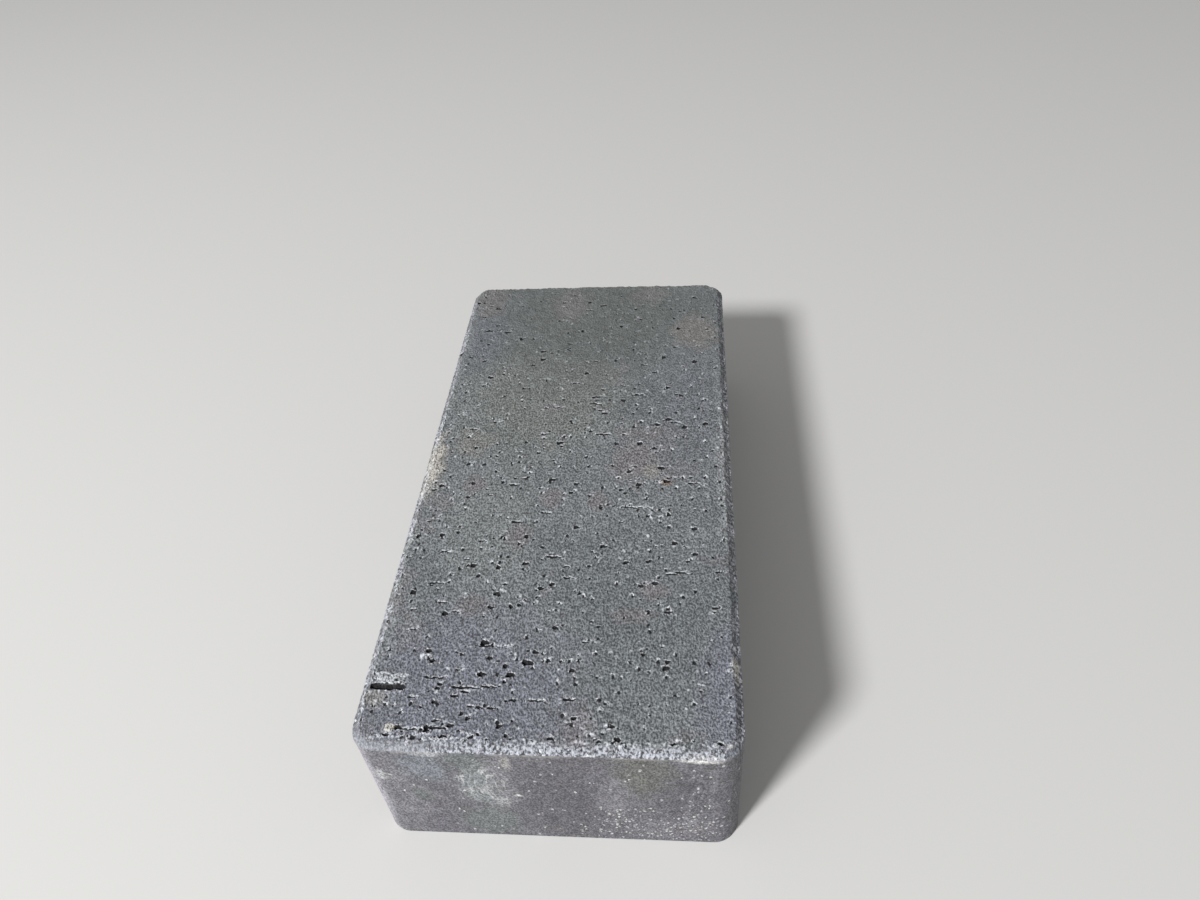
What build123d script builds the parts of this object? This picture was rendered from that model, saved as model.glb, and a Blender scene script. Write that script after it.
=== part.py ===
from build123d import *
import os

# A solid fired-clay paving brick in the common 200 x 100 x 50 mm format.
# Stiff clay is pushed upright through a die, so the four sides are smooth and
# the upright corners are round. A wire cuts the column to thickness, and the
# top arris is then bevelled all the way round, over the round corners too, so
# that it doesn't chip underfoot. The underside keeps the plain edge of the cut.
# The wire also drags grains across the top, and each tears out a short hollow.
#
# Millimetres. X runs across the width, Y along the length and Z up through the
# thickness. The origin is the middle of the underside, where the paver beds.

# Overall size as fired
width = 98.0
length = 200.0
thickness = 48.0

# Round of the upright corners, given by the die
corner_radius = 7.0

# Bevel of the top arris, across the top face and down the sides
bevel_across = 2.2
bevel_down = 2.6

# How softly the bevel turns into the top face and into the sides
top_turn_radius = 1.2
side_turn_radius = 0.8

# The main tears and pits that the cutting wire leaves in the top. Each is given by
# how far its middle lies from the left side, at -X, and from the near end, at -Y,
# by its length across the width, its breadth and its depth, and by the share of
# its breadth that is left at its tail
wire_tears = [
    (7.4, 16.9, 8.8, 2.0, 1.6, 0.8),
    (12.5, 5.4, 1.9, 1.4, 1.2, 0.4),
    (22.1, 5.7, 6.0, 1.6, 1.1, 0.4),
    (27.4, 17.0, 7.6, 0.9, 1.0, 0.4),
    (30.5, 30.7, 2.4, 2.1, 1.3, 0.4),
    (31.2, 21.1, 2.4, 1.5, 1.2, 0.4),
    (38.9, 21.1, 2.4, 1.7, 1.4, 0.4),
    (42.8, 24.7, 2.9, 2.0, 1.6, 0.4),
    (38.0, 57.7, 2.2, 1.4, 1.1, 0.4),
    (60.1, 64.2, 2.4, 1.2, 1.0, 0.4),
    (33.6, 73.6, 3.8, 1.0, 0.9, 0.4),
    (77.9, 90.5, 2.0, 1.6, 1.2, 0.4),
]

# How much smaller the floor of a tear is than its opening
tear_floor_share = 0.45


def clay_column():
    """The column as it leaves the die, cut to the paver's thickness."""
    die_opening = RectangleRounded(width, length, corner_radius)
    return extrude(die_opening, thickness)


def bevel_top_arris(block):
    """Slope the top arris off, across the straight sides and round the corners."""
    top_face = block.faces().sort_by(Axis.Z)[-1]
    return chamfer(top_face.edges(), bevel_across, bevel_down, reference=top_face)


def soften_bevel(block):
    """Round the two lines where the bevel meets the top face and the sides."""
    block = fillet(edges_at(block, thickness), top_turn_radius)
    return fillet(edges_at(block, thickness - bevel_down), side_turn_radius)


def edges_at(block, height):
    """The edges that lie level at a height above the underside."""
    tolerance = 0.01
    return block.edges().filter_by_position(Axis.Z, height - tolerance, height + tolerance)


def tear_opening(tear_length, breadth, tail_share):
    """The outline of a tear: a round head on the left that narrows to a round tail."""
    left_end, right_end = -tear_length / 2, tear_length / 2
    head_radius = breadth / 2
    tail_radius = head_radius * tail_share
    head_x, tail_x = left_end + head_radius, right_end - tail_radius
    head = ThreePointArc((head_x, head_radius), (left_end, 0), (head_x, -head_radius))
    tail = ThreePointArc((tail_x, -tail_radius), (right_end, 0), (tail_x, tail_radius))
    near_border = Line(head @ 1, tail @ 0)
    far_border = Line(tail @ 1, head @ 0)
    return make_face([head, near_border, tail, far_border])


def wire_tear(tear_length, breadth, depth, tail_share):
    """What a dragged grain takes out: the near wall is upright and the far wall slopes."""
    opening = tear_opening(tear_length, breadth, tail_share)
    near_shift = breadth * (1 - tear_floor_share) / 2
    floor = Pos(0, -near_shift, -depth) * scale(opening, tear_floor_share)
    return loft([opening.face(), floor.face()], ruled=True)


def tear_top(block):
    """Cut the main tears into the top face."""
    for from_left, from_near_end, *shape in wire_tears:
        place = Pos(from_left - width / 2, from_near_end - length / 2, thickness)
        block -= place * wire_tear(*shape)
    return block


paver = tear_top(soften_bevel(bevel_top_arris(clay_column())))
paver.label = "paver"

os.makedirs("parts", exist_ok=True)
export_step(paver, "parts/paver.step")

bounds = paver.bounding_box().size
print(f"paver {bounds.X:.2f} x {bounds.Y:.2f} x {bounds.Z:.2f} mm, {paver.volume / 1000:.1f} cm3")
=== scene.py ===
# %% [markdown]
# # A wire-cut clay paving brick
#
# The object is one solid block of fired clay, about the size of a hand. Stiff clay is pushed
# upright through a die, cut to thickness by a wire, bevelled round the top and fired grey.
# Each of these steps leaves its own surface, and a good model shows all of them: smooth die skin
# on the sides, a torn and grainy cut on top, and a rubbed, pale, ragged bevel between the two.
#
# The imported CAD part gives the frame, so the first cell loads it. Everything below is shaped in
# millimetres, because that is how a paver is measured, and becomes metres when the mesh is made.

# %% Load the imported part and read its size
import itertools
import math

import bpy
import numpy as np
from mathutils import Matrix, Vector


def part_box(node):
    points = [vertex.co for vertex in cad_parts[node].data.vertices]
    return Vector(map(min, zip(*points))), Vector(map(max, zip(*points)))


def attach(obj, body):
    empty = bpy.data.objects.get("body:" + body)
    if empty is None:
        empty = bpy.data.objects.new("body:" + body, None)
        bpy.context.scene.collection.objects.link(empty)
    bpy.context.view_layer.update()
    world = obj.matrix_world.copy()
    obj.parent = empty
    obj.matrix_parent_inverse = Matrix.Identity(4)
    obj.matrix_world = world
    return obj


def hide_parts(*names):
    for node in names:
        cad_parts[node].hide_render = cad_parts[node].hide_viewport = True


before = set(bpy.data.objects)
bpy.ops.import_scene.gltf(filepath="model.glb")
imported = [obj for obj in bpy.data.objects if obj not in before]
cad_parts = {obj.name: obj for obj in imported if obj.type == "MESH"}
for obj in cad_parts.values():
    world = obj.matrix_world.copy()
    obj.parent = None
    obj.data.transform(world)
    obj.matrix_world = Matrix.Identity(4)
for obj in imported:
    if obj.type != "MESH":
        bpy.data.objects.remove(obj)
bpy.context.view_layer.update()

MM = 0.001               # one millimetre in Blender's metres

paver_low, paver_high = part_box("paver")
half_width = paver_high.x / MM
half_length = paver_high.y / MM
thickness = paver_high.z / MM
print(f"paver {2 * half_width:.0f} x {2 * half_length:.0f} x {thickness:.0f} mm")

# %% [markdown]
# ## The camera
#
# The reference picture was taken from above the near end, a little to the right of the middle,
# with a phone's wide lens. A camera like that is found by fitting a pinhole model to the block's
# known edges. What the fit gives is a place, three turns and a focal length in picture widths.
# The turns are written as heading, tilt and roll, because these can be read and changed by hand.

# %% Set the camera
camera_place = Vector((0.0347, -0.2045, 0.2486))
camera_heading = math.radians(7.48)      # turned to the left of the block's length
camera_tilt = math.radians(43.63)        # looking down
camera_roll = math.radians(-5.28)
focal_share = 0.7539                     # focal length as a share of the picture's width

camera_data = bpy.data.cameras.new("camera")
camera_data.sensor_width = 36.0
camera_data.lens = focal_share * camera_data.sensor_width
camera_data.clip_start = 0.01
camera = bpy.data.objects.new("camera", camera_data)
camera_turn = (
    Matrix.Rotation(camera_heading, 3, "Z")
    @ Matrix.Rotation(math.radians(90) - camera_tilt, 3, "X")
    @ Matrix.Rotation(camera_roll, 3, "Z")
)
camera.matrix_world = Matrix.Translation(camera_place) @ camera_turn.to_4x4()
bpy.context.scene.collection.objects.link(camera)
bpy.context.scene.camera = camera
bpy.context.scene.view_settings.view_transform = "Standard"
print(f"camera lens {camera_data.lens:.1f} mm at {tuple(round(c, 3) for c in camera_place)} m")

# %% [markdown]
# ## Floor and light
#
# A plain pale floor lets the shape and colour of the block be judged. The light is a broad soft
# lamp from the front left, as daylight falls on the block, over an even sky. The two are set so
# that a white card lying flat would render just white: then a colour shows about as it is written.

# %% Make the floor and the lights
floor_colour = (0.66, 0.655, 0.64, 1.0)
floor_size = 8.0                         # metres
sky_level = 0.33                         # what the sky alone gives a flat white card
lamp_level = 0.70                        # what the lamp adds
lamp_place = Vector((-0.95, -1.25, 1.3))
lamp_size = 0.35


def make_floor():
    """A pale plane that the block lies on."""
    side = floor_size / 2
    corners = [(-side, -side, 0), (side, -side, 0), (side, side, 0), (-side, side, 0)]
    mesh = bpy.data.meshes.new("floor")
    mesh.from_pydata(corners, [], [(0, 1, 2, 3)])
    material = bpy.data.materials.new("pale_floor")
    material.use_nodes = True
    shader = material.node_tree.nodes["Principled BSDF"]
    shader.inputs["Base Color"].default_value = floor_colour
    shader.inputs["Roughness"].default_value = 0.9
    mesh.materials.append(material)
    floor = bpy.data.objects.new("floor", mesh)
    bpy.context.scene.collection.objects.link(floor)


def light_scene():
    """An even sky and one broad lamp, each at a level measured on a flat white card."""
    world = bpy.data.worlds.new("sky")
    world.use_nodes = True
    world.node_tree.nodes["Background"].inputs["Color"].default_value = (1.0, 1.0, 1.0, 1.0)
    world.node_tree.nodes["Background"].inputs["Strength"].default_value = sky_level
    bpy.context.scene.world = world

    lamp_data = bpy.data.lights.new("front_left_lamp", "AREA")
    lamp_data.shape = "DISK"
    lamp_data.size = lamp_size
    steepness = lamp_place.normalized().z
    # a flat card in a round lamp's light is as bright as energy * steepness / (pi * distance) ** 2
    lamp_data.energy = lamp_level * math.pi ** 2 * lamp_place.length_squared / steepness
    lamp = bpy.data.objects.new("front_left_lamp", lamp_data)
    lamp.location = lamp_place
    lamp.rotation_euler = lamp_place.to_track_quat("Z", "Y").to_euler()
    bpy.context.scene.collection.objects.link(lamp)
    print(f"lamp {lamp_data.energy:.0f} W at {lamp_place.length:.2f} m")


make_floor()
light_scene()

# %% [markdown]
# ## Noise that works on arrays
#
# Clay is uneven at every scale, so the shape needs noise at hundreds of thousands of points.
# Calling Blender's noise point by point in Python would be slow. Gradient noise is short to write
# with numpy: each lattice corner has a random direction, and a point blends what the eight
# corners around it say. A cell may be longer in one direction, which gives streaks.

# %% Gradient noise
# the twelve directions to the middles of a cube's edges, and four of them once more
LATTICE_DIRECTIONS = np.array(
    [d for d in itertools.product((-1, 0, 1), repeat=3) if sum(map(abs, d)) == 2] * 2
)[:16]


def lattice_hash(corners, seed):
    """A well mixed whole number for each lattice corner. The multipliers are large primes."""
    mixed = corners[:, 0] * 73856093 ^ corners[:, 1] * 19349663 ^ corners[:, 2] * 83492791
    mixed = (mixed ^ (seed * 2654435761)) & 0xFFFFFFFF
    mixed = ((mixed >> 15) ^ mixed) * 2246822519 & 0xFFFFFFFF
    return ((mixed >> 13) ^ mixed) * 3266489917 & 0xFFFFFFFF


def noise(points, cell, seed):
    """Smooth noise between about -1 and 1 that turns over within one cell, in millimetres."""
    place = points / np.asarray(cell, float)
    corner = np.floor(place).astype(np.int64)
    part = place - corner
    ease = part ** 3 * (part * (part * 6 - 15) + 10)
    total = np.zeros(len(points))
    for step in itertools.product((0, 1), repeat=3):
        direction = LATTICE_DIRECTIONS[lattice_hash(corner + step, seed) >> 16 & 15]
        weight = np.prod(np.where(step, ease, 1 - ease), axis=1)
        total += weight * np.einsum("ij,ij->i", direction, part - step)
    return total


def layered_noise(points, cell, seed, layers=3):
    """Noise of several sizes, each half as large and half as strong as the one before."""
    cell = np.asarray(cell, float)
    return sum(noise(points, cell / 2 ** n, seed + n) / 2 ** n for n in range(layers))


def smooth_step(value, low=0.0, high=1.0):
    """0 at low and before, 1 at high and beyond, with an easy turn. High may lie below low."""
    share = np.clip((value - low) / (high - low), 0, 1)
    return share * share * (3 - 2 * share)


sample = noise(np.random.default_rng(1).uniform(0, 50, (20000, 3)), 1.0, 3)
print(f"noise spreads {sample.std():.2f} and reaches {abs(sample).max():.2f}")

# %% [markdown]
# ## A block made of grid lines
#
# The block could be a cube with modifiers, but its relief is finest where the wire tore the clay,
# and plain subdivision wastes points on the smooth sides. So the whole skin is laid out:
# one grid on top, rows of points down the sides and one grid below, sharing their borders. The
# grid lines crowd together along the outline, where the bevel is, and behind the near end, where
# the tears are thinnest. A square grid is pulled into the round corners ring by ring, which keeps
# the rings parallel to the outline, so each point knows its distance from the side and the foot
# on the outline that it is nearest to.

# %% Lay out the grid
corner_radius = 7.0
bevel_across = 2.2
bevel_down = 2.6
rim = 4.0                # the strip along the outline that gets its own spacing
near_strip = 42.0        # the strip behind the near end, likewise
rim_step = 0.25
near_step = 0.22
middle_step = 0.28


def spaced(start, stop, step):
    """Even values from start to stop, about step apart."""
    return np.linspace(start, stop, round(abs(stop - start) / step) + 1)


def grid_lines(stops, steps):
    """Values from the first stop to the last, with a spacing of their own between two stops."""
    parts = [spaced(start, stop, step)[:-1] for start, stop, step in zip(stops, stops[1:], steps)]
    return np.concatenate([*parts, stops[-1:]])


def round_corners(x, y):
    """Grid points moved into the rounded outline, their distance from the side, and their foot."""
    inner_x = np.clip(x, corner_radius - half_width, half_width - corner_radius)
    inner_y = np.clip(y, corner_radius - half_length, half_length - corner_radius)
    out_x, out_y = x - inner_x, y - inner_y
    reach = np.maximum(abs(out_x), abs(out_y))
    away = np.maximum(np.hypot(out_x, out_y), 1e-9)      # never 0, because it divides
    out_x, out_y = out_x / away, out_y / away
    foot = np.column_stack([inner_x + out_x * corner_radius, inner_y + out_y * corner_radius])
    return inner_x + out_x * reach, inner_y + out_y * reach, corner_radius - reach, foot


columns = grid_lines(
    [-half_width, rim - half_width, half_width - rim, half_width],
    [rim_step, middle_step, rim_step],
)
rows = grid_lines(
    [-half_length, rim - half_length, near_strip - half_length, half_length - rim, half_length],
    [rim_step, near_step, middle_step, rim_step],
)
grid_x, grid_y = np.meshgrid(columns, rows, indexing="ij")
flat_x, flat_y, from_side, foot = round_corners(grid_x.ravel(), grid_y.ravel())
print(f"grid {len(columns)} x {len(rows)} lines, {len(flat_x)} points on each cut face")

# %% [markdown]
# ## The bevel
#
# On the real paver a roller or brush knocks the top arris off. It drops more than it reaches in,
# and its upper line wanders, because grains break out there. The height is read from a profile of
# the distance to the side. Nudging that distance with noise before it is read makes the line
# ragged without any extra geometry, and the nudge fades out at the side, where the line is clean.
# The brush also leaves short strokes down the slope. Noise that is read at the foot of each
# point, and changes only slowly up the slope, runs like that by itself.

# %% Shape the bevel
bevel_wander = 0.5       # how far the upper line strays
bevel_softness = 0.35    # how softly it turns into the top
stroke_height = 0.2
stroke_change = 0.45     # how fast a stroke changes up the slope, against along the side


def bevel_profile(distance):
    """How far the surface has dropped below the top, at a distance from the side."""
    slope = bevel_down * (1 - distance / bevel_across)
    return 0.5 * (slope + np.hypot(slope, bevel_softness)) - 0.5 * bevel_softness


flat_points = np.column_stack([flat_x, flat_y, np.full(len(flat_x), thickness)])
foot_points = np.column_stack([foot, stroke_change * from_side])
wander = layered_noise(flat_points, 6.0, 11) + 0.9 * noise(foot_points, 1.3, 15)
nudged = from_side + bevel_wander * wander * smooth_step(from_side, 0.2, 1.6)
top_drop = np.clip(bevel_profile(nudged), 0, bevel_down)
on_bevel = smooth_step(top_drop, 0.1, 0.6)
stroke_pattern = noise(foot_points, 1.0, 17) + 0.6 * noise(flat_points, 0.8, 18)
print(f"bevel drops {top_drop.max():.2f} mm over {bevel_across} mm")

# %% [markdown]
# **Rubbed clay.** The near end of the bevel is rubbed pale all along, up to the right corner.
# On the other sides the pale clay comes and goes in patches, a little stronger on the left. A
# mask tells the material where, so that the paleness follows the ragged line of the bevel.

# %% Mark where the bevel is rubbed
patch_size = 8.0
right_corner = (46, 40)  # across these millimetres the rubbing of the near end fades out
weakest_rubbing = 0.7    # of the patches away from the left side

near_end = smooth_step(-flat_y, half_length - 9, half_length - 4) * smooth_step(flat_x, *right_corner)
patches = smooth_step(noise(flat_points, patch_size, 19), 0.25, -0.15)
on_left = smooth_step(-flat_x, half_width - 5, half_width - 1)
rubbing = weakest_rubbing + (1 - weakest_rubbing) * on_left
rubbed = on_bevel * (near_end + (1 - near_end) * patches * rubbing)
print(f"{np.mean(rubbed > 0.5):.1%} of the top is rubbed pale")

# %% [markdown]
# ## What the wire leaves
#
# A wire dragged through stiff clay catches grit. It plucks a grain out, which leaves a deep dark
# head, and drags it along, which scores a thin tail across the width and throws up a burr on its
# far side. The largest marks are the ones a viewer remembers, so they are listed one by one, in
# millimetres from the middle of the block. First the tears, which are longer than broad.

# %% Place the tears
# x, y, length across the block, breadth, depth
LARGE_TEAR = (-41.8, -83.1, 9.6, 2.0, 1.6)
TEARS = [
    (-30.4, -80.2, 5.0, 0.6, 0.6), (-21.6, -83.0, 7.6, 0.9, 1.0),
    (-14.7, -82.5, 5.4, 0.5, 0.6), (-21.2, -84.2, 2.6, 0.7, 0.7), (-34.3, -86.0, 2.6, 0.5, 0.4),
    (-19.2, -88.2, 1.6, 0.6, 0.5), (-16.9, -88.6, 2.0, 0.7, 0.7), (-13.8, -88.6, 2.6, 0.7, 0.7),
    (-8.4, -86.2, 2.0, 0.8, 0.7), (-2.4, -86.2, 4.6, 0.4, 0.45), (5.6, -85.7, 3.4, 0.7, 0.8),
    (-33.4, -94.9, 5.0, 0.5, 0.6), (-26.6, -94.4, 5.4, 0.9, 0.8), (-16.0, -70.4, 9.8, 0.45, 0.4),
    (-24.2, -77.9, 1.4, 0.6, 0.5), (19.4, -20.3, 9.0, 0.5, 0.6), (8.0, 12.0, 5.0, 1.0, 1.0),
    (-15.4, -26.4, 3.8, 1.0, 0.9), (-35.2, -49.6, 5.0, 0.6, 0.7), (-18.8, -10.9, 3.6, 0.7, 0.8),
    (4.8, 30.7, 4.0, 0.8, 0.6), (-38.5, 69.6, 4.6, 0.9, 0.7), (3.6, 85.0, 2.6, 1.0, 0.6),
    (-3.0, -39.8, 4.6, 0.8, 0.6), (30.6, -45.6, 3.0, 0.8, 0.9), (33.6, -45.0, 3.4, 0.8, 0.8),
    (44.0, -44.7, 3.0, 0.6, 0.8), (43.0, -56.9, 2.2, 0.9, 0.9), (-32.4, -56.4, 2.6, 0.6, 0.6),
    (-25.2, -15.4, 1.8, 0.6, 0.5), (-24.6, -34.0, 3.0, 0.6, 0.5), (24.0, 44.0, 2.6, 0.7, 0.5),
]
print(f"{1 + len(TEARS)} tears placed")

# %% [markdown]
# **Pits and bites.** Where a grain came out without being dragged, a pit is left. The larger
# pits have a size of their own. The small ones are known by their place alone, and draw a size
# later. A bite is a pit that breaks the upper line of the bevel. There are eight along the near
# end and a long one at the far left.

# %% Place the pits and bites
# x, y, length, breadth, depth
PITS = [
    (-6.2, -75.3, 2.9, 2.0, 1.6), (-10.1, -78.9, 2.4, 1.7, 1.4), (-17.8, -78.9, 2.4, 1.5, 1.2),
    (-18.5, -69.3, 2.4, 2.1, 1.3), (-28.9, -83.4, 1.4, 1.0, 0.9), (-23.7, -85.4, 1.7, 1.0, 1.0),
    (-36.5, -94.6, 1.9, 1.4, 1.2), (-29.0, -94.3, 1.8, 1.6, 1.1), (28.9, -9.5, 2.0, 1.6, 1.2),
    (29.7, -23.2, 1.4, 2.0, 1.2), (23.5, -23.9, 1.5, 1.3, 0.9), (-6.0, 8.0, 2.4, 1.6, 1.0),
    (-34.3, 42.0, 1.7, 1.9, 1.2), (0.3, 43.8, 1.4, 1.5, 0.9), (13.8, 28.8, 1.4, 1.5, 1.0),
    (28.7, 35.5, 1.7, 1.8, 0.9), (-3.3, 68.7, 1.4, 1.7, 0.9), (11.1, -35.8, 2.4, 1.2, 1.0),
    (-11.0, -42.3, 2.2, 1.4, 1.1), (17.7, -41.6, 1.6, 1.3, 1.0), (37.2, -28.7, 2.0, 1.3, 0.9),
    (31.7, -34.2, 1.4, 1.8, 1.0), (-33.0, -72.2, 1.6, 1.6, 1.0), (-31.6, -75.2, 1.5, 1.6, 1.0),
]
# x, y
SMALL_PITS = [
    (-16.7, -74.0), (-1.0, -74.6), (-4.4, -72.0), (-12.0, -76.3), (-31.0, -60.0), (0.0, -64.3),
    (-17.8, -53.1), (-13.2, -57.4), (-18.7, -57.8), (-11.0, -57.0), (-2.4, -49.6), (-5.6, -51.1),
    (26.4, -48.9), (22.3, -49.9), (29.9, -58.6), (24.7, -58.7), (30.1, -74.2), (29.6, -76.0),
    (7.2, -90.8), (16.4, -92.7), (-11.3, -93.5), (-23.2, -93.6), (-19.3, -91.6), (2.6, -28.5),
    (-6.7, -8.7), (1.0, -10.4), (-22.4, -10.0), (20.3, -10.8), (17.0, -5.2), (27.6, -3.8),
    (24.9, 5.2), (20.0, 7.6), (12.5, 7.6), (9.2, -20.5), (-0.5, -14.3), (-29.8, 43.6),
    (33.1, 31.3), (-16.3, 52.0), (-16.9, 56.7), (-31.9, 68.6), (-26.0, 64.1), (32.3, 69.6),
    (11.0, 71.3), (27.0, 52.3), (38.0, 49.8), (9.9, 51.0), (7.7, 22.4), (29.2, 19.1),
    (25.6, 16.7), (34.5, 15.2), (41.3, 17.1), (-3.4, 18.4), (-31.5, -10.5), (-29.4, -2.0),
    (-19.4, -32.5), (-11.9, -32.1), (3.9, 13.4), (-41.5, -11.4), (-37.3, -31.9), (-44.5, -32.4),
    (-32.2, -16.4), (-18.6, -43.8), (-23.9, -46.8), (-26.0, -43.2), (-41.8, -53.0), (-12.5, 3.2),
    (37.3, -38.3), (-45.8, 88.0),
]
# x, y, length, breadth
BITES = [
    (-39.3, -96.6, 1.4, 0.8), (-32.4, -97.2, 0.9, 1.6), (-24.5, -96.6, 1.5, 1.0), (-17.8, -96.6, 1.1, 0.8),
    (-9.1, -96.0, 1.2, 1.4), (2.0, -96.4, 1.2, 1.0), (18.2, -96.2, 1.4, 1.5), (43.0, -96.6, 2.2, 0.9),
    (-47.8, 56.8, 1.8, 3.2),
]
print(f"{len(PITS)} pits, {len(SMALL_PITS)} small pits and {len(BITES)} bites placed")

# %% [markdown]
# **Marks beyond telling apart.** Between them lie many small marks, which are scattered at
# random: short pits, thin scratches and tiny bites along the near end. Squaring the drawn share
# makes small ones common and large ones rare, as in the clay. Every mark also gets a taper,
# which says how much narrower it ends on the right than it begins.

# %% Scatter the small marks
near_lean = 1.1          # above 1, a few more marks lie towards the near end
pit_depth = 0.9          # of the small pits and the bites
mark_taper = 0.6
large_tear_taper = 0.1


def scattered(count, seed, length, breadth, depth):
    """Random marks over a cut face, with sizes between the two ends of each range."""
    chance = np.random.default_rng(seed)
    x = (half_width - rim) * chance.uniform(-1, 1, count)
    y = (half_length - rim) * (2 * chance.random(count) ** near_lean - 1)
    share = chance.random(count) ** 2
    sizes = [low + (high - low) * share for low, high in (length, breadth, depth)]
    return list(zip(x, y, *sizes))


def along_near_edge(count, seed):
    """Random small bites out of the bevel's upper line along the near end."""
    chance = np.random.default_rng(seed)
    x = chance.uniform(4 - half_width, half_width - 4, count)
    y = bevel_across + 0.7 - half_length + abs(chance.normal(0, 0.5, count))
    size = 0.5 + 0.6 * chance.random(count) ** 2
    return list(zip(x, y, size, size, 0.7 * size))


def sized_at_random(places, seed):
    """Small pits at given places, with a size drawn for each."""
    chance = np.random.default_rng(seed)
    return [(x, y, 1.2 + 0.7 * chance.random(), 1.2 + 0.6 * chance.random(), pit_depth) for x, y in places]


tapering_marks = TEARS + PITS + [(*bite, pit_depth) for bite in BITES] + sized_at_random(SMALL_PITS, 20)
tapering_marks += scattered(240, 21, (0.6, 1.2), (0.6, 1.2), (0.6, 1.0))
tapering_marks += scattered(40, 22, (2.0, 4.5), (0.5, 0.7), (0.5, 0.8))
tapering_marks += along_near_edge(12, 23)
top_marks = [(*LARGE_TEAR, large_tear_taper)] + [(*mark, mark_taper) for mark in tapering_marks]
print(f"{len(top_marks)} marks on the top")

# %% [markdown]
# ** Carving.** A mark is a rounded oblong that narrows along its tail. Its outline is read at
# points that noise has shifted, so no two look alike. The floor is deepest at the near side and
# climbs to the far side. Light from the front left then leaves the near part black and catches
# the torn far slope, which is what makes the real pits sparkle. A burr stands up past that slope.
# Three masks are kept for the materials: a painted shade in the hollow, black at the near side
# and fading towards the far side and along a long tail, a painted highlight on the torn far edge,
# and the rough ground around a mark.

# %% Carve the marks
wall_share = 0.4         # how much of a mark's half size its wall takes
far_climb = 0.75         # how much of its depth the floor loses towards the far side
tail_climb = 0.4         # and how much towards the end of its tail
burr_height = 0.16       # of the highest burr
burr_share = 0.3         # how high a burr stands for each millimetre of depth
full_dark_depth = 0.5    # from this depth on, a hollow's painted shade is as dark as can be
far_light = 0.6          # how much of its painted shade a hollow loses at the far side
tail_light = 0.4         # and how much along the tail, where it is long
margins = (1.2, 0.8)     # added to a mark's reach when its masks are drawn, across and along
along_shift = 0.6        # how far outlines are shifted along the block, against across it


def ragged(points, seed):
    """The points' x and y, shifted by noise so that outlines read from them are ragged."""
    shift = [0.5 * noise(points, 1.5, seed + n) + 0.45 * noise(points, 0.7, seed + 2 + n) for n in (0, 1)]
    return points[:, 0] + shift[0], points[:, 1] + along_shift * shift[1]


def carve(points, marks, seed):
    """Height change that the marks make, and the masks of painted shade, painted highlight and rough
    ground.
    """
    x, y = ragged(points, seed)
    depth, dark, burr, edge, rough = np.zeros((5, len(points)))
    for mark_x, mark_y, length, breadth, deep, taper in marks:
        close_x = abs(x - mark_x) < length / 2 + margins[0]
        close_y = abs(y - mark_y) < breadth + margins[1]
        near = np.flatnonzero(close_x & close_y)
        along = (x[near] - mark_x) / length + 0.5
        narrow = 1 - taper * np.clip(along, 0, 1)
        across = (y[near] - mark_y) / (breadth * narrow)
        before_tips = 1 - abs(2 * along - 1) ** 3
        inside = before_tips - (2 * across) ** 2
        far_side = smooth_step(across, -0.25, 0.5)

        pressed = smooth_step(inside, 0, wall_share) * (1 - far_climb * far_side)
        pressed *= 1 - tail_climb * np.clip(along, 0, 1)
        thrown_up = smooth_step(inside, -2.0, -0.2) * smooth_step(-inside, -0.3, 0.3) * far_side
        thrown_up *= min(burr_height, burr_share * deep)
        # painted shade: the hollow is coloured dark where light would not reach, less so at the far side
        shaded = smooth_step(inside, -0.15, 0.15) * (1 - far_light * smooth_step(across, 0.25, 0.5))
        shaded *= min(1, deep / full_dark_depth)
        if length > 3 * breadth:
            shaded *= 1 - tail_light * smooth_step(along, 0.3, 0.6)
        # painted highlight: a strip past the far border, where the torn edge would catch the light
        past_border = y[near] - mark_y - 0.5 * breadth * narrow
        caught = smooth_step(past_border, -0.2, 0.0) * smooth_step(past_border, 0.45, 0.2)
        caught *= smooth_step(before_tips, 0, 0.3)
        crushed = smooth_step(inside, -5.0, 0)
        traces = zip((depth, dark, burr, edge, rough), (deep * pressed, shaded, thrown_up, caught, crushed))
        for so_far, by_this_mark in traces:
            so_far[near] = np.maximum(so_far[near], by_this_mark)
    return burr * (1 - smooth_step(depth, 0, 0.1)) - depth, dark, edge, rough


top_points = np.column_stack([flat_x, flat_y, thickness - top_drop])
torn_relief, hollow, edge_highlight_mask, rough_ground = carve(top_points, top_marks, 31)
print(f"deepest mark {-torn_relief.min():.2f} mm, {np.mean(hollow > 0.5):.1%} of the top is dark hollow")

# %% [markdown]
# ## Grain, crumbs and sag
#
# Between the marks the cut is never flat. It sags a little over centimetres, it is leathery at a
# few millimetres and sandy below that. Crumbs of clay and sand stand proud, most of them close
# to a mark, where the wire dropped them. Only grain that a viewer can see from the side is worth
# points. What is finer than the grid goes into the material as bump. The crumbs come first: some
# are listed one by one, some are crowded into patches, and the rest lie beside the marks.

# %% Place the crumbs
# x, y, radius, height
LARGE_CRUMBS = [
    (-38.7, -94.6, 1.3, 0.6), (-34.3, -74.0, 1.1, 0.6), (-32.9, -73.6, 0.9, 0.5), (27.1, -9.7, 0.9, 0.5),
    (24.0, -31.6, 0.7, 0.4), (15.5, -92.4, 0.8, 0.5), (-7.8, 35.6, 0.8, 0.4), (6.6, 32.0, 0.7, 0.3),
    (-33.2, -98.4, 0.8, 0.5), (-15.8, -3.7, 1.0, 0.4), (-8.9, -78.6, 0.6, 0.4), (-28.0, -83.2, 0.5, 0.4),
    (45.4, -97.0, 0.6, 0.4), (41.6, -97.0, 0.6, 0.4), (46.0, -76.4, 0.9, 0.4), (46.4, -74.4, 0.7, 0.4),
    (-31.2, 62.4, 0.7, 0.3), (-29.0, 87.0, 0.7, 0.3),
]
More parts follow.
